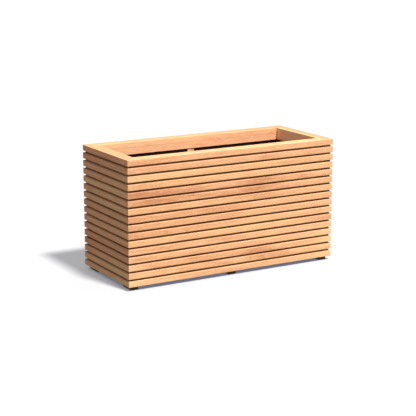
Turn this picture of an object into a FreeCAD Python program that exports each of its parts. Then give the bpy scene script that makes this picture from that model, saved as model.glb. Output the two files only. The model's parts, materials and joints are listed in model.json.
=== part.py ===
import FreeCAD, Part
import math
import os
from collections import namedtuple

# A long slatted planter that stands on six feet. Millimetres, +Z up, +X along the length,
# the front towards -Y, the origin on the floor under the middle.

# Overall size, over the outer faces of the walls
LENGTH = 1200.0
WIDTH = 500.0

# Slats: shiplap boards in level courses, mitred at the corners
COURSE_COUNT = 15
SLAT_FACE = 30.0  # height of the face that shows
SLAT_THICK = 20.0
SHADOW_GAP = 10.0  # open height between two faces
SHADOW_DEPTH = 10.0  # from the faces back to the lip
LIP_LAP = 6.0  # how far a lip stands up behind the slat above
LIP_PLAY = 0.5  # room in front of the lip
LIP_ROOM = 2.0  # room over the lip, for swelling
SLAT_ARRIS = 1.0

# Frame of posts, top rails and floor bearers
POST_SIDE = 30.0  # also the depth of the rails and the width of the bearers
RAIL_HEIGHT = 40.0
BEARER_HEIGHT = 38.0

# Floor boards, laid lengthwise on the bearers with drain gaps
BOARD_COUNT = 4
BOARD_THICK = 18.0
BOARD_GAP = 8.0
BOARD_PLAY = 2.0  # to the posts and the end slats

# Liner: an open tub that stands on the floor boards
LINER_WALL = 2.0
LINER_PLAY = 1.0  # under the rim
DRAIN_BORE = 12.0
DRAIN_SHARES = (-0.8, -0.4, 0.0, 0.4, 0.8)  # along half the liner's length

# Collar: boards over the liner's upper edge
COLLAR_THICK = 8.0
COLLAR_HEIGHT = 35.0
COLLAR_PLAY = 3.0  # at the ends of the long boards
COLLAR_ARRIS = 1.5

# Strips that hold the liner to the middle posts
STRIP_WIDTH = 40.0
STRIP_THICK = 4.0
STRIP_PLAY = 1.0  # over the liner's floor
STRIP_ARRIS = 1.5

# Rim: as wide as the whole wall, mitred
RIM_THICK = 30.0
RIM_ARRIS = 1.2

# Feet, under the posts and the bearers' ends
FOOT_WIDTH = 40.0
FOOT_LENGTH = 85.0
FOOT_HEIGHT = 20.0
FOOT_ARRIS = 1.0

# Countersunk screws, with a hexagonal drive
SLAT_SHANK = 4.0
RIM_SHANK = 5.0
STRIP_SHANK = 4.0
FOOT_SHANK = 5.0
FLOOR_SHANK = 4.0
SLAT_BITE = 12.0  # depth in the last piece that each kind holds
RIM_BITE = 16.0
STRIP_BITE = 20.0
FOOT_BITE = 16.0
FLOOR_BITE = 18.0
FOOT_SINK = 6.0  # from the underside of the foot up to the screw's head
HEAD_SHARE = 2.0  # of the shank's diameter
TIP_SHARE = 0.3
DRIVE_SHARE = 0.4  # of the head's diameter
SINK_SHARE = 0.2

# Where the screws are
LONG_SCREW_RISE = 20.0  # up from the lower edge of a front or back slat
END_SCREW_RISE = 12.0  # the same for an end slat, so that screws pass in a corner post
RAIL_SCREW_INSET = 70.0  # from a corner post to the screws through an end rail
RIM_LONG_SHARES = (-0.75, -0.3, 0.3, 0.75)  # along half a rail
RIM_END_SHARES = (-0.4, 0.4)
STRIP_SCREW_SHARES = (0.15, 0.47, 0.85)  # up the courses
FOOT_SCREW_INSET = 9.0  # from the outer end of the foot
FOOT_SCREW_SHIFT = 8.0  # off the post's middle, clear of the slat screws
BEARER_SCREW_INSET = 19.0  # from the inner end of the foot
FLOOR_SCREW_SHARES = (-0.62, 0.62)  # across half a board

# Brads through the collar
BRAD_SHANK = 1.8
BRAD_HEAD = 3.0
BRAD_CAP = 1.0
BRAD_BITE = 18.0
BRAD_LONG_SHARES = (-0.92, -0.52, -0.1, 0.1, 0.52, 0.92)
BRAD_END_SHARES = (-0.75, 0.0, 0.75)

# Dowels
DOWEL_BORE = 6.0
DOWEL_SHORT_END = 14.0  # the end in a post's or rail's side
DOWEL_LONG_END = 30.0  # the end in end grain
RAIL_DOWEL_STEP = 22.0  # one over the other in the long rails
SIDE_DOWEL_STEP = 16.0  # side by side in end rails, bearers and middle posts
BEARER_DOWEL_RISE = 26.0
MITRE_DOWEL_HALF = 17.0
MITRE_DOWEL_SHARES = (0.35, 0.7)  # along the mitre from the outer corner

# How far a cut runs past what it cuts, and how far a fastener must enter a piece to cut it
OVERRUN = 5.0
TOUCH = 0.01

# Heights
COURSE_PITCH = SLAT_FACE + SHADOW_GAP
WALL_BOTTOM = FOOT_HEIGHT
RIM_BOTTOM = WALL_BOTTOM + COURSE_COUNT * COURSE_PITCH
RIM_TOP = RIM_BOTTOM + RIM_THICK
RAIL_BOTTOM = RIM_BOTTOM - RAIL_HEIGHT
COLLAR_BOTTOM = RIM_BOTTOM - COLLAR_HEIGHT
BEARER_TOP = WALL_BOTTOM + BEARER_HEIGHT
FLOOR_TOP = BEARER_TOP + BOARD_THICK
LINER_FLOOR = FLOOR_TOP + LINER_WALL
LINER_TOP = RIM_BOTTOM - LINER_PLAY

# Depths, inward from the outer face of a wall
POST_MIDDLE = SLAT_THICK + POST_SIDE / 2
POST_FACE = SLAT_THICK + POST_SIDE
LINER_FACE = POST_FACE + LINER_WALL
STRIP_FACE = LINER_FACE + STRIP_THICK
COLLAR_FACE = LINER_FACE + COLLAR_THICK
RIM_WIDTH = COLLAR_FACE

Vector = FreeCAD.Vector
ORIGIN = Vector(0, 0, 0)
ALONG = Vector(1, 0, 0)
OUTWARD = Vector(0, -1, 0)
UP = Vector(0, 0, 1)
DOWN = Vector(0, 0, -1)
FULL_TURN = 360.0

# Each wall is built as the front wall would be, in its own frame: x along the wall from its
# middle, y the depth from its outer face, z the height. A quarter turn takes it to its side.
Side = namedtuple("Side", "name angle run reach long ends")
FRONT = Side("front", 0.0, LENGTH, WIDTH / 2, True, ("left", "right"))
RIGHT = Side("right", 90.0, WIDTH, LENGTH / 2, False, ("front", "back"))
BACK = Side("back", 180.0, LENGTH, WIDTH / 2, True, ("right", "left"))
LEFT = Side("left", 270.0, WIDTH, LENGTH / 2, False, ("back", "front"))
SIDES = (FRONT, RIGHT, BACK, LEFT)
LONG_SIDES = (FRONT, BACK)


def on_side(side, shape):
    """Takes a shape from the wall's own frame to its side of the planter."""
    placed = shape.copy()
    placed.translate(Vector(0, -side.reach, 0))
    placed.rotate(ORIGIN, UP, side.angle)
    return placed


def block(along, depth, height):
    """A box from the low to the high value on each axis."""
    corner = Vector(along[0], depth[0], height[0])
    return Part.makeBox(along[1] - along[0], depth[1] - depth[0], height[1] - height[0], corner)


def outline(corners):
    """A face through corners of (point, radius), each rounded where its radius isn't zero."""
    edges = []
    joints = []
    for i, (point, radius) in enumerate(corners):
        before = corners[i - 1][0] - point
        after = corners[(i + 1) % len(corners)][0] - point
        before.normalize()
        after.normalize()
        if not radius:
            joints.append((point, point))
            continue
        half = before.getAngle(after) / 2
        bisector = before + after
        bisector.normalize()
        start = point + before * (radius / math.tan(half))
        end = point + after * (radius / math.tan(half))
        middle = point + bisector * (radius / math.sin(half) - radius)
        edges.append(Part.Arc(start, middle, end).toShape())
        joints.append((start, end))
    for i, (start, _) in enumerate(joints):
        edges.append(Part.LineSegment(joints[i - 1][1], start).toShape())
    return Part.Face(Part.Wire(Part.__sortEdges__(edges)))


def bar(section, start, end):
    """A length of one section along the wall. Its corners are (depth, height, radius)."""
    face = outline([(Vector(start, depth, height), radius) for depth, height, radius in section])
    return face.extrude(ALONG * (end - start))


def mitred(side, section):
    """A bar of one section along the whole wall, with its ends cut at 45 degrees."""
    half = side.run / 2
    outer = half + OVERRUN
    inner = half - RIM_WIDTH - OVERRUN
    low = min(height for _, height, _ in section) - OVERRUN
    high = max(height for _, height, _ in section) + OVERRUN
    deep = RIM_WIDTH + OVERRUN
    plan = [(-outer, -OVERRUN), (outer, -OVERRUN), (inner, deep), (-inner, deep)]
    wedge = outline([(Vector(along, depth, low), 0) for along, depth in plan]).extrude(UP * (high - low))
    return bar(section, -outer, outer).common(wedge)


def turned(profile, start, way):
    """A solid turned from (radius, distance) points, standing at start and pointing along way."""
    points = [Vector(radius, 0, distance) for radius, distance in profile]
    face = Part.Face(Part.makePolygon(points + points[:1]))
    solid = face.revolve(ORIGIN, UP, FULL_TURN)
    solid.Placement = FreeCAD.Placement(start, FreeCAD.Rotation(UP, way))
    return solid


def screw(shank, length, start, way):
    """A countersunk screw whose head is flush at start."""
    radius = shank / 2
    head = radius * HEAD_SHARE
    tip = radius * TIP_SHARE
    profile = [(0, 0), (head, 0), (radius, head - radius), (radius, length - shank), (tip, length),
               (0, length)]
    return turned(profile, start, way)


def drive(shank, start, way):
    """The hexagonal socket in a screw's head."""
    head = shank * HEAD_SHARE
    radius = head * DRIVE_SHARE / 2
    corners = []
    for turn in range(6):
        angle = math.pi * turn / 3
        corners.append((Vector(radius * math.cos(angle), radius * math.sin(angle), -OVERRUN), 0))
    socket = outline(corners).extrude(UP * (OVERRUN + head * SINK_SHARE))
    socket.Placement = FreeCAD.Placement(start, FreeCAD.Rotation(UP, way))
    return socket


def brad(length, start, way):
    """A thin nail with a small flat head, flush at start."""
    head = BRAD_HEAD / 2
    radius = BRAD_SHANK / 2
    tip = radius * TIP_SHARE
    profile = [(0, 0), (head, 0), (head, BRAD_CAP), (radius, BRAD_CAP), (radius, length - BRAD_SHANK),
               (tip, length), (0, length)]
    return turned(profile, start, way)


def dowel(start, end):
    """A round pin from start to end."""
    way = end - start
    return Part.makeCylinder(DOWEL_BORE / 2, way.Length, start, way)


def with_drives(shank, places):
    """Screws as they are sold, from (side, screw, start, way)."""
    return [on_side(side, body.cut(drive(shank, start, way))) for side, body, start, way in places]


def course_base(course):
    return WALL_BOTTOM + course * COURSE_PITCH


def post_places(side):
    """The middles of the posts along a wall."""
    corner = side.run / 2 - POST_MIDDLE
    return (-corner, 0, corner) if side.long else (-corner, corner)


def slat_screw_places(side, course):
    """(along, height) of a slat's screws: at the posts, or through the end rail in the top course."""
    if side.long:
        return [(along, course_base(course) + LONG_SCREW_RISE) for along in post_places(side)]
    height = course_base(course) + END_SCREW_RISE
    if course < COURSE_COUNT - 1:
        return [(along, height) for along in post_places(side)]
    rail = side.run / 2 - POST_FACE - RAIL_SCREW_INSET
    return [(-rail, height), (rail, height)]


def slat_screws():
    length = POST_SIDE + SLAT_BITE
    places = []
    for side in SIDES:
        for course in range(COURSE_COUNT):
            for along, height in slat_screw_places(side, course):
                start = Vector(along, POST_FACE, height)
                places.append((side, screw(SLAT_SHANK, length, start, OUTWARD), start, OUTWARD))
    return places


def rim_screws():
    """Screws from the underside of the top rails up into the rim."""
    places = []
    for side in SIDES:
        half = side.run / 2 - POST_FACE
        for share in RIM_LONG_SHARES if side.long else RIM_END_SHARES:
            start = Vector(share * half, POST_MIDDLE, RAIL_BOTTOM)
            places.append((side, screw(RIM_SHANK, RAIL_HEIGHT + RIM_BITE, start, UP), start, UP))
    return places


def strip_screws():
    """Screws through the strips and the liner into the middle posts, midway between slat screws."""
    length = STRIP_THICK + LINER_WALL + STRIP_BITE
    places = []
    for side in LONG_SIDES:
        for share in STRIP_SCREW_SHARES:
            course = round(share * COURSE_COUNT)
            start = Vector(0, STRIP_FACE, course_base(course) + LONG_SCREW_RISE - COURSE_PITCH / 2)
            places.append((side, screw(STRIP_SHANK, length, start, OUTWARD), start, OUTWARD))
    return places


def foot_places(side):
    """The middles of the feet along a long wall, each with its shift towards the planter's middle."""
    corner = side.run / 2 - SLAT_THICK - FOOT_WIDTH / 2
    return ((-corner, 1), (0, 1), (corner, -1))


def foot_screws():
    """Two screws in each foot: one up into the post, one into the bearer."""
    places = []
    length = FOOT_HEIGHT - FOOT_SINK + FOOT_BITE
    for side in LONG_SIDES:
        for (_, inward), post in zip(foot_places(side), post_places(side)):
            post_screw = Vector(post + inward * FOOT_SCREW_SHIFT, SLAT_THICK + FOOT_SCREW_INSET, FOOT_SINK)
            bearer_screw = Vector(post, SLAT_THICK + FOOT_LENGTH - BEARER_SCREW_INSET, FOOT_SINK)
            for start in (post_screw, bearer_screw):
                places.append((side, screw(FOOT_SHANK, length, start, UP), start, UP))
    return places


def bearer_places():
    """(name, middle) of each bearer along the planter."""
    end = LENGTH / 2 - POST_MIDDLE
    return (("left", -end), ("middle", 0), ("right", end))


def board_places():
    """(low, high) of each floor board across the planter."""
    clear = WIDTH - 2 * (POST_FACE + BOARD_PLAY)
    wide = (clear - (BOARD_COUNT - 1) * BOARD_GAP) / BOARD_COUNT
    lows = [-clear / 2 + i * (wide + BOARD_GAP) for i in range(BOARD_COUNT)]
    return [(low, low + wide) for low in lows]


def floor_screws():
    """Two screws where each floor board crosses a bearer. They stand in the planter's own frame."""
    here = Side("middle", 0.0, LENGTH, 0.0, True, ())
    length = BOARD_THICK + FLOOR_BITE
    places = []
    for _, middle in bearer_places():
        for low, high in board_places():
            for share in FLOOR_SCREW_SHARES:
                start = Vector(middle, (low + high) / 2 + share * (high - low) / 2, FLOOR_TOP)
                places.append((here, screw(FLOOR_SHANK, length, start, DOWN), start, DOWN))
    return places


def collar_brads():
    """Brads through the collar and the liner into the top rails."""
    length = COLLAR_THICK + LINER_WALL + BRAD_BITE
    brads = []
    for side in SIDES:
        half = side.run / 2 - COLLAR_FACE
        for share in BRAD_LONG_SHARES if side.long else BRAD_END_SHARES:
            start = Vector(share * half, COLLAR_FACE, RIM_BOTTOM - COLLAR_HEIGHT / 2)
            brads.append(on_side(side, brad(length, start, OUTWARD)))
    return brads


def rim_dowels():
    """Dowels square across each mitre of the rim."""
    dowels = []
    reach = MITRE_DOWEL_HALF / math.sqrt(2)
    for side in SIDES:
        for share in MITRE_DOWEL_SHARES:
            depth = share * RIM_WIDTH
            middle = Vector(side.run / 2 - depth, depth, RIM_BOTTOM + RIM_THICK / 2)
            half = Vector(reach, reach, 0)
            dowels.append(on_side(side, dowel(middle - half, middle + half)))
    return dowels


def joint_dowels(side, joint, places):
    """Dowels along the wall at both ends of a rail or bearer, at (depth, height) places."""
    dowels = []
    for hand in (-1, 1):
        for depth, height in places:
            in_post = Vector(hand * (joint + DOWEL_SHORT_END), depth, height)
            in_rail = Vector(hand * (joint - DOWEL_LONG_END), depth, height)
            dowels.append(on_side(side, dowel(in_post, in_rail)))
    return dowels


def frame_dowels():
    """Dowels of the top rails, the bearers and the middle posts' heads."""
    rail_middle = RIM_BOTTOM - RAIL_HEIGHT / 2
    bearer_height = WALL_BOTTOM + BEARER_DOWEL_RISE
    beside = SIDE_DOWEL_STEP / 2
    above = RAIL_DOWEL_STEP / 2
    dowels = []
    for side in SIDES:
        joint = side.run / 2 - POST_FACE
        if side.long:
            heights = (rail_middle - above, rail_middle + above)
            dowels += joint_dowels(side, joint, [(POST_MIDDLE, height) for height in heights])
            for along in (-beside, beside):
                foot = Vector(along, POST_MIDDLE, RAIL_BOTTOM - DOWEL_LONG_END)
                head = Vector(along, POST_MIDDLE, RAIL_BOTTOM + DOWEL_SHORT_END)
                dowels.append(on_side(side, dowel(foot, head)))
            continue
        for height in (rail_middle, bearer_height):
            depths = (POST_MIDDLE - beside, POST_MIDDLE + beside)
            dowels += joint_dowels(side, joint, [(depth, height) for depth in depths])
    across = RIGHT._replace(reach=0.0)
    dowels += joint_dowels(across, WIDTH / 2 - POST_FACE, [(-beside, bearer_height), (beside, bearer_height)])
    return dowels


def fitted(piece, fasteners):
    """The piece as one solid, with the holes for the fasteners that enter it."""
    inside = FreeCAD.BoundBox(piece.BoundBox)
    inside.enlarge(-TOUCH)
    near = [fastener for fastener in fasteners if inside.intersect(fastener.BoundBox)]
    solids = (piece.cut(near) if near else piece).Solids
    if len(solids) != 1:
        raise ValueError("a piece came out as %d solids" % len(solids))
    return solids[0]


def slat_section(course):
    """A shiplap slat: a rounded face, a lip up behind the shadow gap, a rebate below for the lip beneath."""
    base = course_base(course)
    top = base + SLAT_FACE
    last = course == COURSE_COUNT - 1
    lip_top = RIM_BOTTOM if last else base + COURSE_PITCH + LIP_LAP
    section = [(0, base, SLAT_ARRIS), (0, top, SLAT_ARRIS), (SHADOW_DEPTH, top, 0),
               (SHADOW_DEPTH, lip_top, 0), (SLAT_THICK, lip_top, 0)]
    if course == 0:
        return section + [(SLAT_THICK, base, 0)]
    rebate_depth = SHADOW_DEPTH - LIP_PLAY
    rebate_top = base + LIP_LAP + LIP_ROOM
    return section + [(SLAT_THICK, rebate_top, 0), (rebate_depth, rebate_top, 0), (rebate_depth, base, 0)]


def slat_courses():
    courses = {}
    for course in range(COURSE_COUNT):
        section = slat_section(course)
        courses["slat_course_%02d" % (course + 1)] = [on_side(side, mitred(side, section)) for side in SIDES]
    return courses


def rim_boards():
    section = [(0, RIM_BOTTOM, RIM_ARRIS), (0, RIM_TOP, RIM_ARRIS), (RIM_WIDTH, RIM_TOP, RIM_ARRIS),
               (RIM_WIDTH, RIM_BOTTOM, 0)]
    return {"rim_" + side.name: [on_side(side, mitred(side, section))] for side in SIDES}


def collar_boards():
    """The short boards run from liner wall to liner wall, the long ones between them."""
    section = [(LINER_FACE, COLLAR_BOTTOM, 0), (LINER_FACE, RIM_BOTTOM, 0), (COLLAR_FACE, RIM_BOTTOM, 0),
               (COLLAR_FACE, COLLAR_BOTTOM, COLLAR_ARRIS)]
    boards = {}
    for side in SIDES:
        half = side.run / 2 - (COLLAR_FACE + COLLAR_PLAY if side.long else LINER_FACE)
        boards["collar_" + side.name] = [on_side(side, bar(section, -half, half))]
    return boards


def posts():
    """Corner posts run up to the rim, middle posts to the long top rails."""
    pieces = {}
    for side in LONG_SIDES:
        left, middle, right = post_places(side)
        names = {left: "corner_post_%s_%s" % (side.name, side.ends[0]), middle: "middle_post_" + side.name,
                 right: "corner_post_%s_%s" % (side.name, side.ends[1])}
        for place, name in names.items():
            top = RAIL_BOTTOM if place == middle else RIM_BOTTOM
            along = (place - POST_SIDE / 2, place + POST_SIDE / 2)
            pieces[name] = [on_side(side, block(along, (SLAT_THICK, POST_FACE), (WALL_BOTTOM, top)))]
    return pieces


def top_rails():
    pieces = {}
    for side in SIDES:
        half = side.run / 2 - POST_FACE
        rail = block((-half, half), (SLAT_THICK, POST_FACE), (RAIL_BOTTOM, RIM_BOTTOM))
        pieces["top_rail_" + side.name] = [on_side(side, rail)]
    return pieces


def bearers():
    half = WIDTH / 2 - POST_FACE
    return {"bearer_" + name: [block((middle - POST_SIDE / 2, middle + POST_SIDE / 2), (-half, half),
                                     (WALL_BOTTOM, BEARER_TOP))] for name, middle in bearer_places()}


def floor_boards():
    half = LENGTH / 2 - SLAT_THICK - BOARD_PLAY
    return {"floor_board_%d" % (i + 1): [block((-half, half), place, (BEARER_TOP, FLOOR_TOP))]
            for i, place in enumerate(board_places())}


def liner():
    """An open tub against the posts and rails, with drain holes over the gaps between the floor boards."""
    outer = (LENGTH / 2 - POST_FACE, WIDTH / 2 - POST_FACE)
    inner = (LENGTH / 2 - LINER_FACE, WIDTH / 2 - LINER_FACE)
    tub = block((-outer[0], outer[0]), (-outer[1], outer[1]), (FLOOR_TOP, LINER_TOP))
    cuts = [block((-inner[0], inner[0]), (-inner[1], inner[1]), (LINER_FLOOR, LINER_TOP + OVERRUN))]
    boards = board_places()
    for below, above in zip(boards, boards[1:]):
        gap = (below[1] + above[0]) / 2
        for share in DRAIN_SHARES:
            foot = Vector(share * inner[0], gap, FLOOR_TOP - OVERRUN)
            cuts.append(Part.makeCylinder(DRAIN_BORE / 2, LINER_WALL + 2 * OVERRUN, foot, UP))
    return {"liner": [tub.cut(cuts)]}


def liner_strips():
    half = STRIP_WIDTH / 2
    foot = LINER_FLOOR + STRIP_PLAY
    plan = [(-half, LINER_FACE, 0), (half, LINER_FACE, 0), (half, STRIP_FACE, STRIP_ARRIS),
            (-half, STRIP_FACE, STRIP_ARRIS)]
    face = outline([(Vector(along, depth, foot), radius) for along, depth, radius in plan])
    strip = face.extrude(UP * (COLLAR_BOTTOM - foot))
    return {"liner_strip_" + side.name: [on_side(side, strip)] for side in LONG_SIDES}


def feet():
    """Blocks with rounded lower edges and sunk holes for the screws' heads."""
    inner = SLAT_THICK + FOOT_LENGTH
    section = [(SLAT_THICK, 0, FOOT_ARRIS), (SLAT_THICK, FOOT_HEIGHT, 0), (inner, FOOT_HEIGHT, 0),
               (inner, 0, FOOT_ARRIS)]
    sinks = []
    for side, _, start, _ in foot_screws():
        head = FOOT_SHANK * HEAD_SHARE
        low = Vector(start.x, start.y, -OVERRUN)
        sinks.append(on_side(side, Part.makeCylinder(head / 2, FOOT_SINK + OVERRUN, low, UP)))
    pieces = {}
    for side in LONG_SIDES:
        names = (side.ends[0], "middle", side.ends[1])
        for (middle, _), name in zip(foot_places(side), names):
            foot = on_side(side, bar(section, middle - FOOT_WIDTH / 2, middle + FOOT_WIDTH / 2))
            pieces["foot_%s_%s" % (side.name, name)] = [fitted(foot, sinks)]
    return pieces


def save(name, solids):
    Part.makeCompound(solids).exportStep(os.path.join("parts", name + ".step"))


def build():
    os.makedirs("parts", exist_ok=True)
    screws = {"slat_screws": (SLAT_SHANK, slat_screws()), "rim_screws": (RIM_SHANK, rim_screws()),
              "strip_screws": (STRIP_SHANK, strip_screws()), "foot_screws": (FOOT_SHANK, foot_screws()),
              "floor_screws": (FLOOR_SHANK, floor_screws())}
    pins = {"collar_brads": collar_brads(), "rim_dowels": rim_dowels(), "frame_dowels": frame_dowels()}
    fasteners = [on_side(side, body) for _, places in screws.values() for side, body, _, _ in places]
    fasteners += [pin for group in pins.values() for pin in group]
    for make in (slat_courses, rim_boards, collar_boards, posts, top_rails, bearers, floor_boards, liner,
                 liner_strips, feet):
        for name, solids in make().items():
            save(name, [fitted(solid, fasteners) for solid in solids])
    for name, (shank, places) in screws.items():
        save(name, with_drives(shank, places))
    for name, group in pins.items():
        save(name, group)


build()
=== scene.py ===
import json
import math
import random
from collections import namedtuple

import bmesh
import bpy
import numpy as np
from mathutils import Matrix, Vector


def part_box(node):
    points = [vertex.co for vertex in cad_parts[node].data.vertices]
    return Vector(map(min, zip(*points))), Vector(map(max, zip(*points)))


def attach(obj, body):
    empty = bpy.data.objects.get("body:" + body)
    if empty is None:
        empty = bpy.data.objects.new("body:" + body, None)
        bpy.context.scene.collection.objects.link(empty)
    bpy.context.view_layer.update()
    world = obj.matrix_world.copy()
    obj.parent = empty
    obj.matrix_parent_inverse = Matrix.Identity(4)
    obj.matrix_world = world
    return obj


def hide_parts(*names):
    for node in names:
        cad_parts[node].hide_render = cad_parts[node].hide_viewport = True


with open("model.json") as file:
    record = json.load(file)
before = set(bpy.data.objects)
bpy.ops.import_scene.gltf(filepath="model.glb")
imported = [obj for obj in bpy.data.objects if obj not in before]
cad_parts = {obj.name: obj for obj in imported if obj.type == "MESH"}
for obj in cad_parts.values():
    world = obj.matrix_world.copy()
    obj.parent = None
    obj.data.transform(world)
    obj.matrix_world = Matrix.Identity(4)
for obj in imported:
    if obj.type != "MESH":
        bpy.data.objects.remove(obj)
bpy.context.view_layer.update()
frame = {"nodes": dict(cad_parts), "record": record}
nodes = frame["nodes"]

# Metres, in the frame of the solids: +Z up, +X along the length, the front towards -Y.
MM = 0.001
LENGTH, WIDTH = 1200 * MM, 500 * MM
COURSE_COUNT = 15
SLAT_FACE, SLAT_THICK, SLAT_ARRIS = 30 * MM, 20 * MM, 1.0 * MM
SHADOW_GAP, SHADOW_DEPTH = 10 * MM, 10 * MM
LIP_LAP, LIP_PLAY, LIP_ROOM = 6 * MM, 0.5 * MM, 2 * MM
COURSE_PITCH = SLAT_FACE + SHADOW_GAP
WALL_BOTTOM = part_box("slat_course_01")[0][2]
RIM_BOTTOM, RIM_TOP = (corner[2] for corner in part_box("rim_front"))
RIM_HEIGHT = RIM_TOP - RIM_BOTTOM
RIM_WIDTH, RIM_ARRIS = 60 * MM, 1.2 * MM
RIM_LOWER_ARRIS = 0.05 * MM  # of the inner lower edge, which stays crisp over the collar
EASE = 0.4 * MM  # the small round on an edge that has no arris

# The mesh of a board: its steps along the grain and around the section
FLOW, SECTION_STEP = 38 * MM, 6 * MM
ARC_STEPS, EASE_STEPS = 6, 2
SHARP_ANGLE = math.radians(35)

# How far a board departs from straight, and how far its edges are rubbed and worn
BOW, SWAY, RUB = 0.35 * MM, 0.15 * MM, 0.2 * MM
WAVE_COUNT = 5
WORN_REACH = 3.0 * MM

# How far the grain of a board is moved along and across it, and how deep its pith lies behind the face
GRAIN_RUN, GRAIN_OFFSET, PITH_DEPTH = 90, 70 * MM, (25 * MM, 110 * MM)

# Each wall's turn about Z in degrees, its length and the distance of its face from the middle
SIDES = {"front": (0, LENGTH, WIDTH / 2), "right": (90, WIDTH, LENGTH / 2),
         "back": (180, LENGTH, WIDTH / 2), "left": (270, WIDTH, LENGTH / 2)}

# Painted shade, by depth behind the face and by rise over the lower edge of a board
GROOVE_START, GROOVE_END = (1.2 * MM, 4.0 * MM), (11 * MM, 14 * MM)
# Painted shade on the lower edge of a slat, and on the upper edge of a slat on the wall in the shade
LOWER_EDGE_SHADE, LOWER_EDGE = 0.12, (0.3 * MM, 2.6 * MM)
UPPER_EDGE_SHADE, UPPER_EDGE = 0.64, (SLAT_FACE - 7 * MM, SLAT_FACE)
SHADED_GROOVE = 0.8  # of the groove's painted shade, on the wall in the shade
# Painted shade in the inner corners of the rim, and how far it reaches from the mitre
CORNER_SHADE, CORNER_REACH = 0.9, 4 * MM
FADE_START, FADE_END = 0.5 * RIM_WIDTH, 0.9 * RIM_WIDTH
PATCH = 0.22  # the half width of a dark patch, as a share of half a board

# A board's tone (dark to pale), hue (pink to yellow), strength of its streaks, rise of the tone from left
# to right, and darker patches as (place, drop)
Board = namedtuple("Board", "tone hue streak tilt patches", defaults=(0.0, ()))


def link(obj):
    """Puts an object into the scene."""
    bpy.context.scene.collection.objects.link(obj)
    return obj


# Boards

def rounded(section):
    """The closed outline of a section of (depth, height, radius) corners, in even steps, with how
    near each point is to a worn edge."""
    corners = [Vector((depth, height)) for depth, height, _ in section]
    radii = [radius for _, _, radius in section]
    count = len(corners)
    area = sum(corners[i - 1].cross(corners[i]) for i in range(count))
    runs, sharp = [], []
    for i, corner in enumerate(corners):
        before = (corners[i - 1] - corner).normalized()
        after = (corners[(i + 1) % count] - corner).normalized()
        convex = (-before).cross(after) * area > 0
        radius = radii[i] or (EASE if convex else 0)
        if convex and radius >= EASE:
            sharp.append(corner)
        if not radius:
            runs.append([corner])
            continue
        half = before.angle(after) / 2
        start = corner + before * (radius / math.tan(half))
        end = corner + after * (radius / math.tan(half))
        centre = corner + (before + after).normalized() * (radius / math.sin(half))
        steps = ARC_STEPS if radius > EASE else EASE_STEPS
        arc = []
        for k in range(steps + 1):
            spoke = (start - centre).lerp(end - centre, k / steps).normalized()
            arc.append(centre + spoke * radius)
        runs.append(arc)
    points = []
    for i, run in enumerate(runs):
        points += run
        gap = runs[(i + 1) % count][0] - run[-1]
        steps = max(1, math.ceil(gap.length / SECTION_STEP))
        points += [run[-1] + gap * (k / steps) for k in range(1, steps)]
    worn = [max(math.exp(-((p - s).length / WORN_REACH) ** 2) for s in sharp) for p in points]
    return points, worn


def inward_normals(points):
    """The normals of a closed outline, towards its inside."""
    count = len(points)
    normals = []
    for i in range(count):
        tangent = points[(i + 1) % count] - points[i - 1]
        normals.append(Vector((-tangent.y, tangent.x)).normalized())
    middle = sum(points, Vector((0, 0))) / count
    if sum((middle - p).dot(n) for p, n in zip(points, normals)) < 0:
        normals = [-n for n in normals]
    return normals


def wander(rng, size):
    """A smooth random bend along a board that is nil at both ends."""
    waves = [(rng.uniform(-1, 1) / k, k) for k in range(1, WAVE_COUNT + 1)]
    most = sum(abs(w) for w, _ in waves)
    return lambda t: size * sum(w * math.sin(math.pi * k * (t + 1) / 2) for w, k in waves) / most


def ramp_up(value, low, high):
    share = min(max((value - low) / (high - low), 0.0), 1.0)
    return share * share * (3 - 2 * share)


def painted_groove_shade(depth, rise, end):
    """Painted shade in the shadow gap of a slat, and a little on its lower edge."""
    lower = LOWER_EDGE_SHADE * (1 - ramp_up(rise, *LOWER_EDGE))
    return max(lower, ramp_up(depth, *GROOVE_START) * (1 - ramp_up(depth, *GROOVE_END)))


def painted_groove_and_edge_shade(depth, rise, end):
    """The same, with painted shade on the upper edge of the face too."""
    edge = ramp_up(rise, *UPPER_EDGE) if depth < SHADOW_DEPTH else 0.0
    return max(SHADED_GROOVE * painted_groove_shade(depth, rise, end), UPPER_EDGE_SHADE * edge)


def rim_painted_shade(share, fade):
    """The painted shade of a rim board: its sunlit top is darker by share, less so by fade towards the
    inner edge, and painted shade darkens its inner face in the corners."""
    def shade(depth, rise, end):
        if depth > RIM_WIDTH - EASE:
            return CORNER_SHADE if end else 0.0
        top = ramp_up(rise, RIM_HEIGHT - RIM_ARRIS, RIM_HEIGHT)
        return share * top * (1 - fade * ramp_up(depth, FADE_START, FADE_END))
    return shade


def tone_along(board, t):
    """A board's tone at t, from -1 at its left end to 1: its own, a tilt and a few darker patches."""
    dark = sum(drop * math.exp(-((t - place) / PATCH) ** 2) for place, drop in board.patches)
    return board.tone + board.tilt * t - dark


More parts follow.
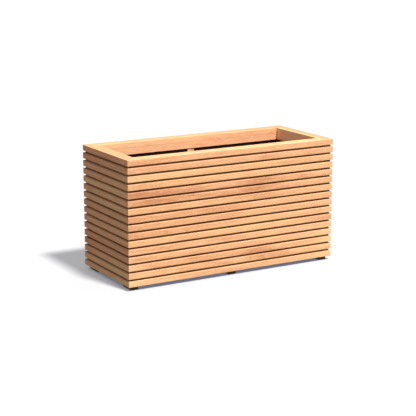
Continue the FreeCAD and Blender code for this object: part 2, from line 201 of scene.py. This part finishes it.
def mitred_board(name, node, side, section, board, seed, shade, corner=0.0):
    """A board along one wall with mitred ends. shade is the painted shade by depth, rise and whether it
    is at an end, where it reaches as far as corner."""
    rng = random.Random(seed)
    angle, run, reach = SIDES[side]
    points, worn = rounded(section)
    count = len(points)
    inward = inward_normals(points)
    low = min(p.y for p in points)
    high = max(p.y for p in points)
    bow = wander(rng, BOW)
    sway = wander(rng, SWAY)
    # The fourth draw isn't used: it only keeps the place of the grain, which is drawn next.
    low_rub, high_rub, edge_rub, _ = (wander(rng, RUB) for _ in range(4))
    shift = Vector((rng.uniform(0, GRAIN_RUN), rng.uniform(-GRAIN_OFFSET, GRAIN_OFFSET),
                    rng.uniform(*PITH_DEPTH)))
    steps = math.ceil(run / FLOW)
    stops = [-1 + 2 * k / steps for k in range(steps + 1)]
    if corner:
        near_end = 1 - corner / (run / 2 - RIM_WIDTH)
        stops = [-1, -near_end] + stops[1:-1] + [near_end, 1]
    rings = [(-1, True)] + [(t, False) for t in stops] + [(1, True)]
    turn = Matrix.Rotation(math.radians(angle), 3, "Z")
    verts, grain, looks, painted_shade = [], [], [], []
    for t, cap in rings:
        end = abs(t) == 1
        for point, normal, edge_wear_and_highlight in zip(points, inward, worn):
            half = run / 2 - point.x
            along = t * (half - EASE if end and not cap else half)
            place = point + normal * (EASE if cap else 0)
            face = max(0.0, 1 - point.x / SHADOW_DEPTH)
            upper = (point.y - low) / (high - low) > 0.5
            rub = high_rub if upper else low_rub
            lift = abs(edge_rub(t)) if upper else -abs(edge_rub(t))
            depth = place.x + face * (abs(bow(t)) + edge_wear_and_highlight * abs(rub(t)))
            height = place.y - face * (abs(sway(t)) + edge_wear_and_highlight * lift)
            verts.append(turn @ Vector((along, depth - reach, height)))
            grain.append((along + shift.x, point.y - low + shift.y, point.x + shift.z))
            looks.append((tone_along(board, t), board.hue, edge_wear_and_highlight, board.streak))
            # the painted shade that shade gives this point
            painted_shade.append(0 if cap else shade(point.x, point.y - low, end))
    mesh = bpy.data.meshes.new(name)
    mesh.from_pydata(verts, [], tube_faces(len(rings), count))
    mesh.validate()
    tidy_normals(mesh)
    mesh.attributes.new("grain", "FLOAT_VECTOR", "POINT").data.foreach_set("vector", np.ravel(grain))
    mesh.attributes.new("look", "FLOAT_COLOR", "POINT").data.foreach_set("color", np.ravel(looks))
    mesh.attributes.new("painted_shade", "FLOAT", "POINT").data.foreach_set("value", painted_shade)
    obj = link(bpy.data.objects.new(name, mesh))
    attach(obj, "root")
    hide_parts(node)
    return obj


def tube_faces(ring_count, count):
    """The faces of a closed tube through rings of count points, with its two end faces."""
    faces = []
    for first in range(0, (ring_count - 1) * count, count):
        for i in range(count):
            j = (i + 1) % count
            faces.append((first + i, first + j, first + count + j, first + count + i))
    last = (ring_count - 1) * count
    faces.append(tuple(range(count - 1, -1, -1)))
    faces.append(tuple(range(last, last + count)))
    return faces


def tidy_normals(mesh):
    """Outward normals, smooth over the rounds and sharp elsewhere."""
    work = bmesh.new()
    work.from_mesh(mesh)
    bmesh.ops.recalc_face_normals(work, faces=work.faces)
    work.to_mesh(mesh)
    work.free()
    mesh.polygons.foreach_set("use_smooth", [True] * len(mesh.polygons))
    mesh.set_sharp_from_angle(angle=SHARP_ANGLE)


# Node materials

class Look:
    """A material and short ways to add nodes to it."""

    def __init__(self, name, **constants):
        self.material = bpy.data.materials.new(name)
        self.material.use_nodes = True
        self.tree = self.material.node_tree
        self.shader = self.tree.nodes["Principled BSDF"]
        for socket, value in constants.items():
            self.shader.inputs[socket.replace("_", " ")].default_value = value

    def add(self, kind, **settings):
        node = self.tree.nodes.new("ShaderNode" + kind)
        for key, value in settings.items():
            setattr(node, key, value)
        return node

    def feed(self, socket, value):
        if isinstance(value, bpy.types.NodeSocket):
            self.tree.links.new(value, socket)
        else:
            socket.default_value = value

    def add_fed(self, kind, *values, **settings):
        node = self.add(kind, **settings)
        for socket, value in zip(node.inputs, values):
            self.feed(socket, value)
        return node

    def math(self, operation, *values, clamp=False):
        return self.add_fed("Math", *values, operation=operation, use_clamp=clamp).outputs[0]

    def vector(self, operation, *values):
        return self.add_fed("VectorMath", *values, operation=operation).outputs["Vector"]

    def total(self, start, *terms):
        """start plus each (value, weight)."""
        for value, weight in terms:
            start = self.math("MULTIPLY_ADD", value, weight, start)
        return start

    def noise(self, place, stretch, detail=2.0, roughness=0.5, distortion=0.0):
        node = self.add("TexNoise")
        self.feed(node.inputs["Vector"], self.vector("MULTIPLY", place, stretch))
        node.inputs["Scale"].default_value = 1.0
        node.inputs["Detail"].default_value = detail
        node.inputs["Roughness"].default_value = roughness
        node.inputs["Distortion"].default_value = distortion
        return node.outputs["Fac"]

    def centred(self, value):
        return self.math("SUBTRACT", value, 0.5)

    def grain(self, place, waves, detail=2.0, roughness=0.5):
        """A noise about nil with the given waves per metre along and across the grain."""
        along, across = waves
        return self.centred(self.noise(place, (along, across, across), detail, roughness))

    def range(self, value, low, high, to_low=0.0, to_high=1.0):
        values = (value, low, high, to_low, to_high)
        return self.add_fed("MapRange", *values, interpolation_type="SMOOTHSTEP").outputs[0]

    def mix(self, factor, a, b, blend="MIX"):
        node = self.add("Mix", data_type="RGBA", blend_type=blend)
        self.feed(node.inputs[0], factor)
        self.feed(node.inputs[6], a if isinstance(a, bpy.types.NodeSocket) else (*a, 1))
        self.feed(node.inputs[7], b if isinstance(b, bpy.types.NodeSocket) else (*b, 1))
        return node.outputs[2]

    def ramp(self, factor, stops):
        node = self.add("ValToRGB")
        self.feed(node.inputs[0], factor)
        marks = node.color_ramp.elements
        while len(marks) < len(stops):
            marks.new(0.5)
        for mark, (at, colour) in zip(marks, stops):
            mark.position = at
            mark.color = (*colour, 1)
        return node.outputs[0]

    def axes(self, vector):
        return self.add_fed("SeparateXYZ", vector).outputs

    def attribute(self, name):
        return self.add("Attribute", attribute_name=name)

    def object_place(self):
        return self.add("TexCoord").outputs["Object"]

    def grain_place(self, order, shift):
        """Object coordinates with the grain's axis first, moved by shift."""
        place = self.axes(self.object_place())
        turned = self.add_fed("CombineXYZ", *[place[i] for i in order]).outputs[0]
        return self.vector("ADD", turned, shift)

    def pith_distance(self, place):
        """The distance from the pith, which lies on the grain's axis."""
        _, across, deep = self.axes(place)
        square = self.math("MULTIPLY_ADD", across, across, self.math("MULTIPLY", deep, deep))
        return self.math("POWER", square, 0.5)

    def finish(self, colour, roughness, height, strength, distance):
        self.feed(self.shader.inputs["Base Color"], colour)
        self.feed(self.shader.inputs["Roughness"], roughness)
        bump = self.add("Bump")
        bump.inputs["Strength"].default_value = strength
        bump.inputs["Distance"].default_value = distance
        self.feed(bump.inputs["Height"], height)
        self.feed(self.shader.inputs["Normal"], bump.outputs[0])
        return self.material


# Larch: colours from dark to pale, and the waves per metre along and across the grain of each noise
LARCH_STOPS = ((0.0, (0.62, 0.25, 0.112)), (0.3, (0.80, 0.37, 0.175)), (0.55, (0.915, 0.48, 0.236)),
               (0.8, (0.955, 0.56, 0.277)), (1.0, (0.985, 0.63, 0.312)))
PINK_TINT, YELLOW_TINT = (1.0, 0.93, 0.99), (1.0, 1.07, 1.0)
# The pale colour of worn edges, which also serves as a painted highlight on the arrises
RUBBED_AND_HIGHLIGHT = (0.955, 0.66, 0.345)
# The colour of dark streaks in the wood, and the dark colour that painted shade multiplies in
STREAK_STAIN, GROOVE_SHADE_COLOUR = (0.66, 0.27, 0.13), (0.26, 0.185, 0.12)
LARCH_RINGS = 290.0  # per metre from the pith
RING_BEND, RING_DRIFT = 0.03, 0.004  # metres
RING_EDGE = (1.0, 0.93)  # where the dark end of a ring breaks off
STREAK_SPREAD, STREAK_STRENGTH = (0.56, 0.74), 0.42
# Paler worn edges, partly a painted highlight: their spread over the fibre and their strength
RUB_HIGHLIGHT_SPREAD, RUB_HIGHLIGHT_STRENGTH = (-0.2, 0.2), (0.15, 0.5)
# How strongly the painted shade darkens
GROOVE_SHADE_STRENGTH = 0.92
LARCH_GLOSS = 0.1
BEND, DRIFT, CLOUD = (2.4, 9), (11, 60), (4, 30)
LINES, THREAD, FIBRE, MOTTLE = (7, 120), (14, 260), (26, 760), (75, 110)
STREAKS = (8, 75, 75)
COARSE = 0.6  # the roughness of the finer noises


def larch(look, place, tone, hue, edge_wear_and_highlight, streak, painted_shade):
    """Planed larch. place has the grain's axis first and the pith on that axis."""
    bend = look.grain(place, BEND, detail=1)
    drift = look.grain(place, DRIFT)
    radius = look.total(look.pith_distance(place), (bend, RING_BEND), (drift, RING_DRIFT))
    ring = look.math("FRACT", look.math("MULTIPLY", radius, LARCH_RINGS))
    late = look.math("MULTIPLY", look.math("POWER", ring, 3.0), look.range(ring, *RING_EDGE))
    fibre = look.grain(place, FIBRE, roughness=COARSE)
    lines = look.grain(place, LINES, detail=3, roughness=COARSE)
    cloud = look.grain(place, CLOUD)
    thread = look.grain(place, THREAD, roughness=COARSE)
    mottle = look.grain(place, MOTTLE, roughness=COARSE)
    grade = look.total(0.5, (tone, 0.5), (look.math("MULTIPLY", lines, streak), 1.1),
                       (look.math("MULTIPLY", cloud, streak), 1.3), (thread, 0.6), (mottle, 0.6),
                       (fibre, 0.35), (late, -0.22))
    colour = look.ramp(grade, LARCH_STOPS)
    tint = look.mix(look.math("MULTIPLY_ADD", hue, 0.5, 0.5), PINK_TINT, YELLOW_TINT)
    colour = look.mix(1.0, colour, tint, "MULTIPLY")
    stain = look.range(look.noise(place, STREAKS, detail=3, roughness=COARSE), *STREAK_SPREAD)
    stain = look.math("MULTIPLY", look.math("MULTIPLY", stain, streak), STREAK_STRENGTH, clamp=True)
    colour = look.mix(stain, colour, STREAK_STAIN)
    # Worn edges are paler, and this also paints a highlight on the arrises
    rubbed_and_highlight = look.math("MULTIPLY", edge_wear_and_highlight, look.range(fibre, *RUB_HIGHLIGHT_SPREAD, *RUB_HIGHLIGHT_STRENGTH))
    colour = look.mix(rubbed_and_highlight, colour, RUBBED_AND_HIGHLIGHT)
    # Painted shade in the shadow gaps, on slat edges, on the rim tops and in the rim's inner corners
    darkened = look.mix(1.0, colour, GROOVE_SHADE_COLOUR, "MULTIPLY")
    colour = look.mix(look.math("MULTIPLY", painted_shade, GROOVE_SHADE_STRENGTH), colour, darkened)
    roughness = look.total(0.62, (fibre, 0.25), (late, -0.12), (lines, 0.15), (painted_shade, 0.15))
    height = look.total(0.5, (fibre, 0.6), (late, 0.35))
    return look.finish(colour, roughness, height, strength=0.35, distance=0.4 * MM)


def board_larch():
    """Larch by the attributes of the mitred boards."""
    look = Look("larch", Specular_IOR_Level=LARCH_GLOSS)
    shade = look.attribute("look")
    tone, hue, edge_wear_and_highlight = look.add_fed("SeparateColor", shade.outputs["Color"]).outputs
    return larch(look, look.attribute("grain").outputs["Vector"], tone, hue, edge_wear_and_highlight, shade.outputs["Alpha"],
                 look.attribute("painted_shade").outputs["Fac"])


def larch_for(name, order, shift, board):
    """Larch by object coordinates. The board's tilt is the rise of its tone per metre along the grain."""
    look = Look(name, Specular_IOR_Level=LARCH_GLOSS)
    place = look.grain_place(order, shift)
    tone = look.math("MULTIPLY_ADD", look.axes(place)[0], board.tilt, board.tone - board.tilt * shift[0])
    return larch(look, place, tone, board.hue, 0.0, board.streak, 0.0)


SAWN_STOPS = ((0.0, (0.42, 0.22, 0.09)), (0.4, (0.62, 0.38, 0.18)), (0.7, (0.76, 0.51, 0.27)),
              (1.0, (0.85, 0.63, 0.38)))
SAWN_RINGS = 210.0  # per metre from the pith
SAW_MARKS = 1900.0  # radians per metre along the grain
SAWN_RING_BEND, SAW_MARK_BEND = 0.03, 0.01  # metres
SAWN_BEND, SAWN_CLOUD, SAWN_FIBRE = (2, 8), (5, 24), (30, 800)


def sawn_wood(name, order, shift):
    """Pale rough-sawn frame timber: broad rings and saw marks across the grain."""
    look = Look(name, Specular_IOR_Level=0.2)
    place = look.grain_place(order, shift)
    bend = look.grain(place, SAWN_BEND)
    radius = look.total(look.pith_distance(place), (bend, SAWN_RING_BEND))
    ring = look.math("FRACT", look.math("MULTIPLY", radius, SAWN_RINGS))
    late = look.math("POWER", ring, 2.5)
    fibre = look.grain(place, SAWN_FIBRE, roughness=COARSE)
    cloud = look.grain(place, SAWN_CLOUD)
    along = look.total(look.axes(place)[0], (bend, SAW_MARK_BEND))
    saw = look.math("SINE", look.math("MULTIPLY", along, SAW_MARKS))
    colour = look.ramp(look.total(0.55, (late, -0.35), (fibre, 0.5), (cloud, 0.8), (saw, 0.03)), SAWN_STOPS)
    roughness = look.total(0.78, (fibre, 0.2), (late, -0.1))
    height = look.total(0.5, (fibre, 0.5), (saw, 0.12), (late, 0.2))
    return look.finish(colour, roughness, height, strength=0.5, distance=0.6 * MM)


DOWEL_STOPS = ((0.2, (0.50, 0.30, 0.16)), (0.6, (0.68, 0.45, 0.27)), (1.0, (0.78, 0.56, 0.36)))
DOWEL_FLECK, DOWEL_CLOUD = (900, 900, 900), (60, 60, 60)


def dowel_wood():
    """Pale turned dowels with fine flecks."""
    look = Look("dowel_beech", Specular_IOR_Level=0.25)
    place = look.object_place()
    fleck = look.noise(place, DOWEL_FLECK)
    cloud = look.noise(place, DOWEL_CLOUD)
    colour = look.ramp(look.total(0.1, (fleck, 0.5), (cloud, 0.4)), DOWEL_STOPS)
    return look.finish(colour, look.total(0.5, (fleck, 0.2)), fleck, strength=0.2, distance=0.2 * MM)


FLOW_MARKS, DUST_SPECKS = (9, 9, 22), (260, 260, 260)
FLOW_SPREAD, SPECK_SPREAD = (0.38, 0.7), (0.58, 0.72)


def moulded_black(name, base, dust, grit, roughness):
    """Black plastic with a fine moulded grain, faint flow marks and a little dust."""
    look = Look(name, Specular_IOR_Level=0.2)
    place = look.object_place()
    fine = look.noise(place, (grit, grit, grit), detail=3, roughness=COARSE)
    flow = look.noise(place, FLOW_MARKS, detail=3, roughness=COARSE, distortion=0.4)
    specks = look.range(look.noise(place, DUST_SPECKS), *SPECK_SPREAD)
    mask = look.math("MULTIPLY", look.range(flow, *FLOW_SPREAD), look.total(0.35, (specks, 0.65)))
    colour = look.mix(mask, base, dust)
    rough = look.total(roughness, (look.centred(fine), 0.25), (look.centred(flow), 0.2))
    return look.finish(colour, rough, fine, strength=0.3, distance=0.25 * MM)


STEEL_STOPS = ((0.2, (0.42, 0.41, 0.40)), (0.8, (0.66, 0.65, 0.63)))
STEEL_SCRATCHES, STEEL_CLOUD = (700, 700, 2600), (120, 120, 120)


def screw_steel():
    """Passivated steel, a little scratched."""
    look = Look("screw_steel", Metallic=1.0)
    place = look.object_place()
    scratch = look.noise(place, STEEL_SCRATCHES)
    cloud = look.noise(place, STEEL_CLOUD)
    colour = look.ramp(look.total(0.1, (scratch, 0.4), (cloud, 0.4)), STEEL_STOPS)
    roughness = look.total(0.2, (scratch, 0.22), (cloud, 0.12))
    return look.finish(colour, roughness, scratch, strength=0.15, distance=0.1 * MM)


def wear_material(obj, material):
    if obj.data.materials:
        for slot in obj.material_slots:
            slot.material = material
    else:
        obj.data.materials.append(material)


# The walls, from the lowest course up

FRONT_BOARDS = (
    Board(0.25, 0.25, 0.5, 0.0, ((-1.0, -0.45), (-0.35, 0.2), (1.0, -0.45))),
    Board(0.1, 0.2, 0.7, 0.05, ((-0.9, -0.35), (-0.3, 0.3), (0.3, 0.55), (1.0, -0.3))),
    Board(0.15, 0.0, 0.8, 0.1, ((-1.0, -0.45), (-0.3, 0.2), (0.25, 0.7), (1.0, -0.6))),
    Board(0.35, 0.0, 0.6, 0.25, ((-1.0, -0.2), (0.3, 0.3), (1.0, -0.3))),
    Board(0.2, -0.1, 0.6, 0.3, ((-1.0, -0.3),)),
    Board(0.2, 0.3, 0.5, 0.05, ((0.95, 0.3),)),
    Board(0.1, 0.1, 0.5, 0.4),
    Board(0.12, 0.0, 0.5, 0.25),
    Board(0.0, -0.1, 0.5, 0.2),
    Board(0.05, 0.3, 0.6, 0.05),
    Board(0.0, -0.1, 0.8, 0.25, ((-0.75, 0.3), (-0.25, 0.15), (0.2, 0.6))),
    Board(-0.1, -0.2, 0.75, 0.25, ((-0.8, 0.4), (0.2, 0.4))),
    Board(0.24, 0.3, 0.4, 0.15),
    Board(0.3, 0.4, 0.4, -0.12),
    Board(0.15, -0.3, 0.5, 0.12))
LEFT_TONES = (0.45, 0.5, 0.1, -0.35, -0.3, 0.05, 0.25, 0.0, -0.2, 0.25, 0.15, 0.5, 0.1, 0.1, -0.25)
LEFT_STREAK, LEFT_TILT = 0.35, 0.2
HIDDEN_SPREAD, HIDDEN_STREAK = 0.3, (0.4, 0.9)
WALL_SEED, COURSE_SEED_STEP, RIM_SEED = 41, 100, 7000


def slat_section(course):
    base = WALL_BOTTOM + course * COURSE_PITCH
    top = base + SLAT_FACE
    lip_top = RIM_BOTTOM if course == COURSE_COUNT - 1 else base + COURSE_PITCH + LIP_LAP
    section = [(0, base, SLAT_ARRIS), (0, top, SLAT_ARRIS), (SHADOW_DEPTH, top, 0),
               (SHADOW_DEPTH, lip_top, 0), (SLAT_THICK, lip_top, 0)]
    if course == 0:
        return section + [(SLAT_THICK, base, 0)]
    rebate = SHADOW_DEPTH - LIP_PLAY
    shoulder = base + LIP_LAP + LIP_ROOM
    return section + [(SLAT_THICK, shoulder, 0), (rebate, shoulder, 0), (rebate, base, 0)]


def board_of(course, side, chance):
    """The look of one slat. The walls that the photo doesn't show have theirs by chance."""
    if side == "front":
        return FRONT_BOARDS[course]
    if side == "left":
        return Board(LEFT_TONES[course], 0.0, LEFT_STREAK, LEFT_TILT)
    tone = chance.uniform(-HIDDEN_SPREAD, HIDDEN_SPREAD)
    hue = chance.uniform(-HIDDEN_SPREAD, HIDDEN_SPREAD)
    return Board(tone, hue, chance.uniform(*HIDDEN_STREAK))


larch_boards = board_larch()
chance = random.Random(WALL_SEED)
for course in range(COURSE_COUNT):
    for side, (angle, _, _) in SIDES.items():
        slat = mitred_board("slat_%02d_%s" % (course + 1, side), "slat_course_%02d" % (course + 1), side,
                            slat_section(course), board_of(course, side, chance),
                            COURSE_SEED_STEP * course + angle, painted_groove_and_edge_shade if side == "left" else painted_groove_shade)
        wear_material(slat, larch_boards)

# Each rim board's look, how much painted shade darkens its sunlit top, and how that fades towards the inner
# edge
RIM_BOARDS = {"front": (Board(0.12, -0.1, 0.5, 0.08), 0.02, 0.0),
              "right": (Board(0.5, 0.0, 0.4, 0.1), 0.5, 0.8),
              "back": (Board(0.32, -0.35, 0.25, 0.25), 0.38, 0.4),
              "left": (Board(-0.35, 0.0, 0.5), 0.03, 0.0)}
rim_section = [(0, RIM_BOTTOM, RIM_ARRIS), (0, RIM_TOP, RIM_ARRIS), (RIM_WIDTH, RIM_TOP, RIM_ARRIS),
               (RIM_WIDTH, RIM_BOTTOM, RIM_LOWER_ARRIS)]
for side, (board, darkened, fade) in RIM_BOARDS.items():
    rim = mitred_board("rim_board_" + side, "rim_" + side, side, rim_section, board,
                       RIM_SEED + SIDES[side][0], rim_painted_shade(darkened, fade), CORNER_REACH)
    wear_material(rim, larch_boards)


# Finishes of the solids that stay. A shift puts the pith of a board beside it, in metres.

LONGWAYS, CROSSWAYS, UPRIGHT = (0, 1, 2), (1, 0, 2), (2, 0, 1)
# The other collars are paler than the back one: painted light on the inner walls in the shade. The back
# collar darkens towards the right.
BACK_COLLAR, OTHER_COLLAR = Board(0.2, -0.9, 0.3, -0.38), Board(0.6, -0.9, 0.8)
STRIP = Board(-0.1, 0.0, 0.8)
COLLAR_SHIFTS = {"front": (11.0, 0.31, -0.55), "right": (18.0, 0.31, -0.55),
                 "back": (25.0, 0.31, -0.55), "left": (32.0, 0.31, -0.55)}
STRIP_SHIFTS = {"front": (41.0, 0.06, 0.25), "back": (44.0, 0.06, -0.25)}
SAWN_SHIFTS = {"longways": (LONGWAYS, (3.0, 0.41, 0.13)), "crossways": (CROSSWAYS, (5.0, 0.67, 0.09)),
               "upright": (UPRIGHT, (9.0, 0.71, 0.37))}
LINER_BASE, LINER_DUST, LINER_GRIT, LINER_ROUGHNESS = (0.026, 0.012, 0.006), (0.042, 0.024, 0.015), 900.0, 0.6
FOOT_BASE, FOOT_DUST, FOOT_GRIT, FOOT_ROUGHNESS = (0.11, 0.058, 0.026), (0.15, 0.083, 0.042), 700.0, 0.65

for side, shift in COLLAR_SHIFTS.items():
    order = LONGWAYS if side in ("front", "back") else CROSSWAYS
    board = BACK_COLLAR if side == "back" else OTHER_COLLAR
    wear_material(nodes["collar_" + side], larch_for("larch_collar_" + side, order, shift, board))
for side, shift in STRIP_SHIFTS.items():
    wear_material(nodes["liner_strip_" + side], larch_for("larch_strip_" + side, UPRIGHT, shift, STRIP))
sawn = {order: sawn_wood("sawn_" + name, order, shift) for name, (order, shift) in SAWN_SHIFTS.items()}
plain = {"dowel_beech": dowel_wood(), "screw_steel": screw_steel(),
         "liner_black": moulded_black("liner_black", LINER_BASE, LINER_DUST, LINER_GRIT, LINER_ROUGHNESS),
         "foot_black": moulded_black("foot_black", FOOT_BASE, FOOT_DUST, FOOT_GRIT, FOOT_ROUGHNESS)}
slots = {s["node"]: s["material_slot"] for s in frame["record"]["subparts"]}
for name, obj in nodes.items():
    if slots[name] in plain:
        wear_material(obj, plain[slots[name]])
    elif slots[name] == "frame_wood":
        size = [high - low for low, high in zip(*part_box(name))]
        wear_material(obj, sawn[(LONGWAYS, CROSSWAYS, UPRIGHT)[size.index(max(size))]])


# Floor, light and camera

FLOOR_HALF = 60  # metres
# The floor's colour to bounced light, and to the camera and in reflections
FLOOR_BOUNCE, FLOOR_SEEN = (0.03, 0.03, 0.031), (0.44, 0.44, 0.44)
FLOOR_GLOW, UNDER_PAINTED_SHADOW = (0.22, 0.22, 0.225), (0.125, 0.137, 0.19)  # in the open, and under the planter, where the dimmer, bluer glow is a painted shadow
GLOW_EDGE = 0.03
SKY, WHITE = (0.508, 0.52, 0.565), (1, 1, 1)

SUN_ENERGY, SUN_ANGLE = 1.565 * math.pi, math.radians(8)
SUN_PLACE, SUN_AIM = (0.6, -2.8, 5.2), (-0.234, 1.06, -1.85)
BOUNCE_SIZE, BOUNCE_ENERGY, BOUNCE_COLOUR = (0.3, 0.1), 0.28, (1.0, 0.72, 0.5)
BOUNCE_PLACE, BOUNCE_AIM = (-0.1, 0.0, RIM_TOP + 0.15), (1.0, 0.0, -0.25)

# The camera, solved from the edges of the slats and the rim in the photo
CAMERA_PLACE = (-3.26733, -5.54255, 1.78980)
YAW, PITCH, ROLL = 0.531437, 0.227621, -0.001294
SENSOR, LENS = 36, 109.8392  # millimetres
FAR_CLIP = 200  # metres


def shown_rays(tree):
    """1 for camera, glossy and transmission rays, which meet a white background."""
    path = tree.nodes.new("ShaderNodeLightPath")
    shown = path.outputs["Is Camera Ray"]
    for ray in ("Is Glossy Ray", "Is Transmission Ray"):
        either = tree.nodes.new("ShaderNodeMath")
        either.operation = "MAXIMUM"
        tree.links.new(shown, either.inputs[0])
        tree.links.new(path.outputs[ray], either.inputs[1])
        shown = either.outputs[0]
    return shown


def floor_material():
    """Pale floor. To the camera and in reflections it is near white and keeps the shadow; under the planter
    its glow dims to a painted shadow.
    """
    look = Look("floor")
    look.tree.nodes.remove(look.shader)
    x, y, _ = look.axes(look.object_place())
    outside = look.math("MAXIMUM", look.math("SUBTRACT", look.math("ABSOLUTE", x), LENGTH / 2),
                        look.math("SUBTRACT", look.math("ABSOLUTE", y), WIDTH / 2))
    bounce = look.add_fed("BsdfDiffuse", (*FLOOR_BOUNCE, 1))
    seen = look.add_fed("BsdfDiffuse", (*FLOOR_SEEN, 1))
    # Under the planter the glow fades to a painted shadow
    glow = look.add_fed("Emission", look.mix(look.range(outside, -GLOW_EDGE, 0.0), UNDER_PAINTED_SHADOW, FLOOR_GLOW))
    both = look.add_fed("AddShader", seen.outputs[0], glow.outputs[0])
    choose = look.add_fed("MixShader", shown_rays(look.tree), bounce.outputs[0], both.outputs[0])
    look.feed(look.tree.nodes["Material Output"].inputs["Surface"], choose.outputs[0])
    return look.material


def add_floor():
    mesh = bpy.data.meshes.new("floor")
    corners = [(x * FLOOR_HALF, y * FLOOR_HALF, 0) for x, y in ((-1, -1), (1, -1), (1, 1), (-1, 1))]
    mesh.from_pydata(corners, [], [(0, 1, 2, 3)])
    mesh.materials.append(floor_material())
    floor = link(bpy.data.objects.new("floor", mesh))


def set_sky():
    world = bpy.data.worlds.new("studio")
    bpy.context.scene.world = world
    world.use_nodes = True
    tree = world.node_tree
    sky = tree.nodes.new("ShaderNodeMix")
    sky.data_type = "RGBA"
    sky.inputs[6].default_value = (*SKY, 1)
    sky.inputs[7].default_value = (*WHITE, 1)
    tree.links.new(shown_rays(tree), sky.inputs[0])
    tree.links.new(sky.outputs[2], tree.nodes["Background"].inputs["Color"])


def add_lamp(lamp, place, aim):
    obj = link(bpy.data.objects.new(lamp.name, lamp))
    obj.rotation_mode = "QUATERNION"
    obj.rotation_quaternion = Vector(aim).to_track_quat("-Z", "Y")
    obj.location = place
    return obj


def add_lamps():
    """A sun as the key light, and a weak warm bounce onto the far inner wall."""
    key = bpy.data.lights.new("key", "SUN")
    key.energy = SUN_ENERGY
    key.angle = SUN_ANGLE
    add_lamp(key, SUN_PLACE, SUN_AIM)
    bounce = bpy.data.lights.new("bounce", "AREA")
    bounce.shape = "RECTANGLE"
    bounce.size, bounce.size_y = BOUNCE_SIZE
    bounce.energy = BOUNCE_ENERGY
    bounce.color = BOUNCE_COLOUR
    add_lamp(bounce, BOUNCE_PLACE, BOUNCE_AIM).visible_camera = False


def add_camera():
    ahead = Vector((math.sin(YAW) * math.cos(PITCH), math.cos(YAW) * math.cos(PITCH), -math.sin(PITCH)))
    right = Vector((math.cos(YAW), -math.sin(YAW), 0))
    down = ahead.cross(right)
    across = right * math.cos(ROLL) + down * math.sin(ROLL)
    under = down * math.cos(ROLL) - right * math.sin(ROLL)
    camera = link(bpy.data.objects.new("camera", bpy.data.cameras.new("camera")))
    camera.data.sensor_width = SENSOR
    camera.data.lens = LENS
    camera.data.clip_end = FAR_CLIP
    camera.matrix_world = Matrix((across, -under, -ahead)).transposed().to_4x4()
    camera.location = CAMERA_PLACE
    bpy.context.scene.camera = camera


add_floor()
set_sky()
add_lamps()
add_camera()
bpy.context.scene.view_settings.view_transform = "Standard"
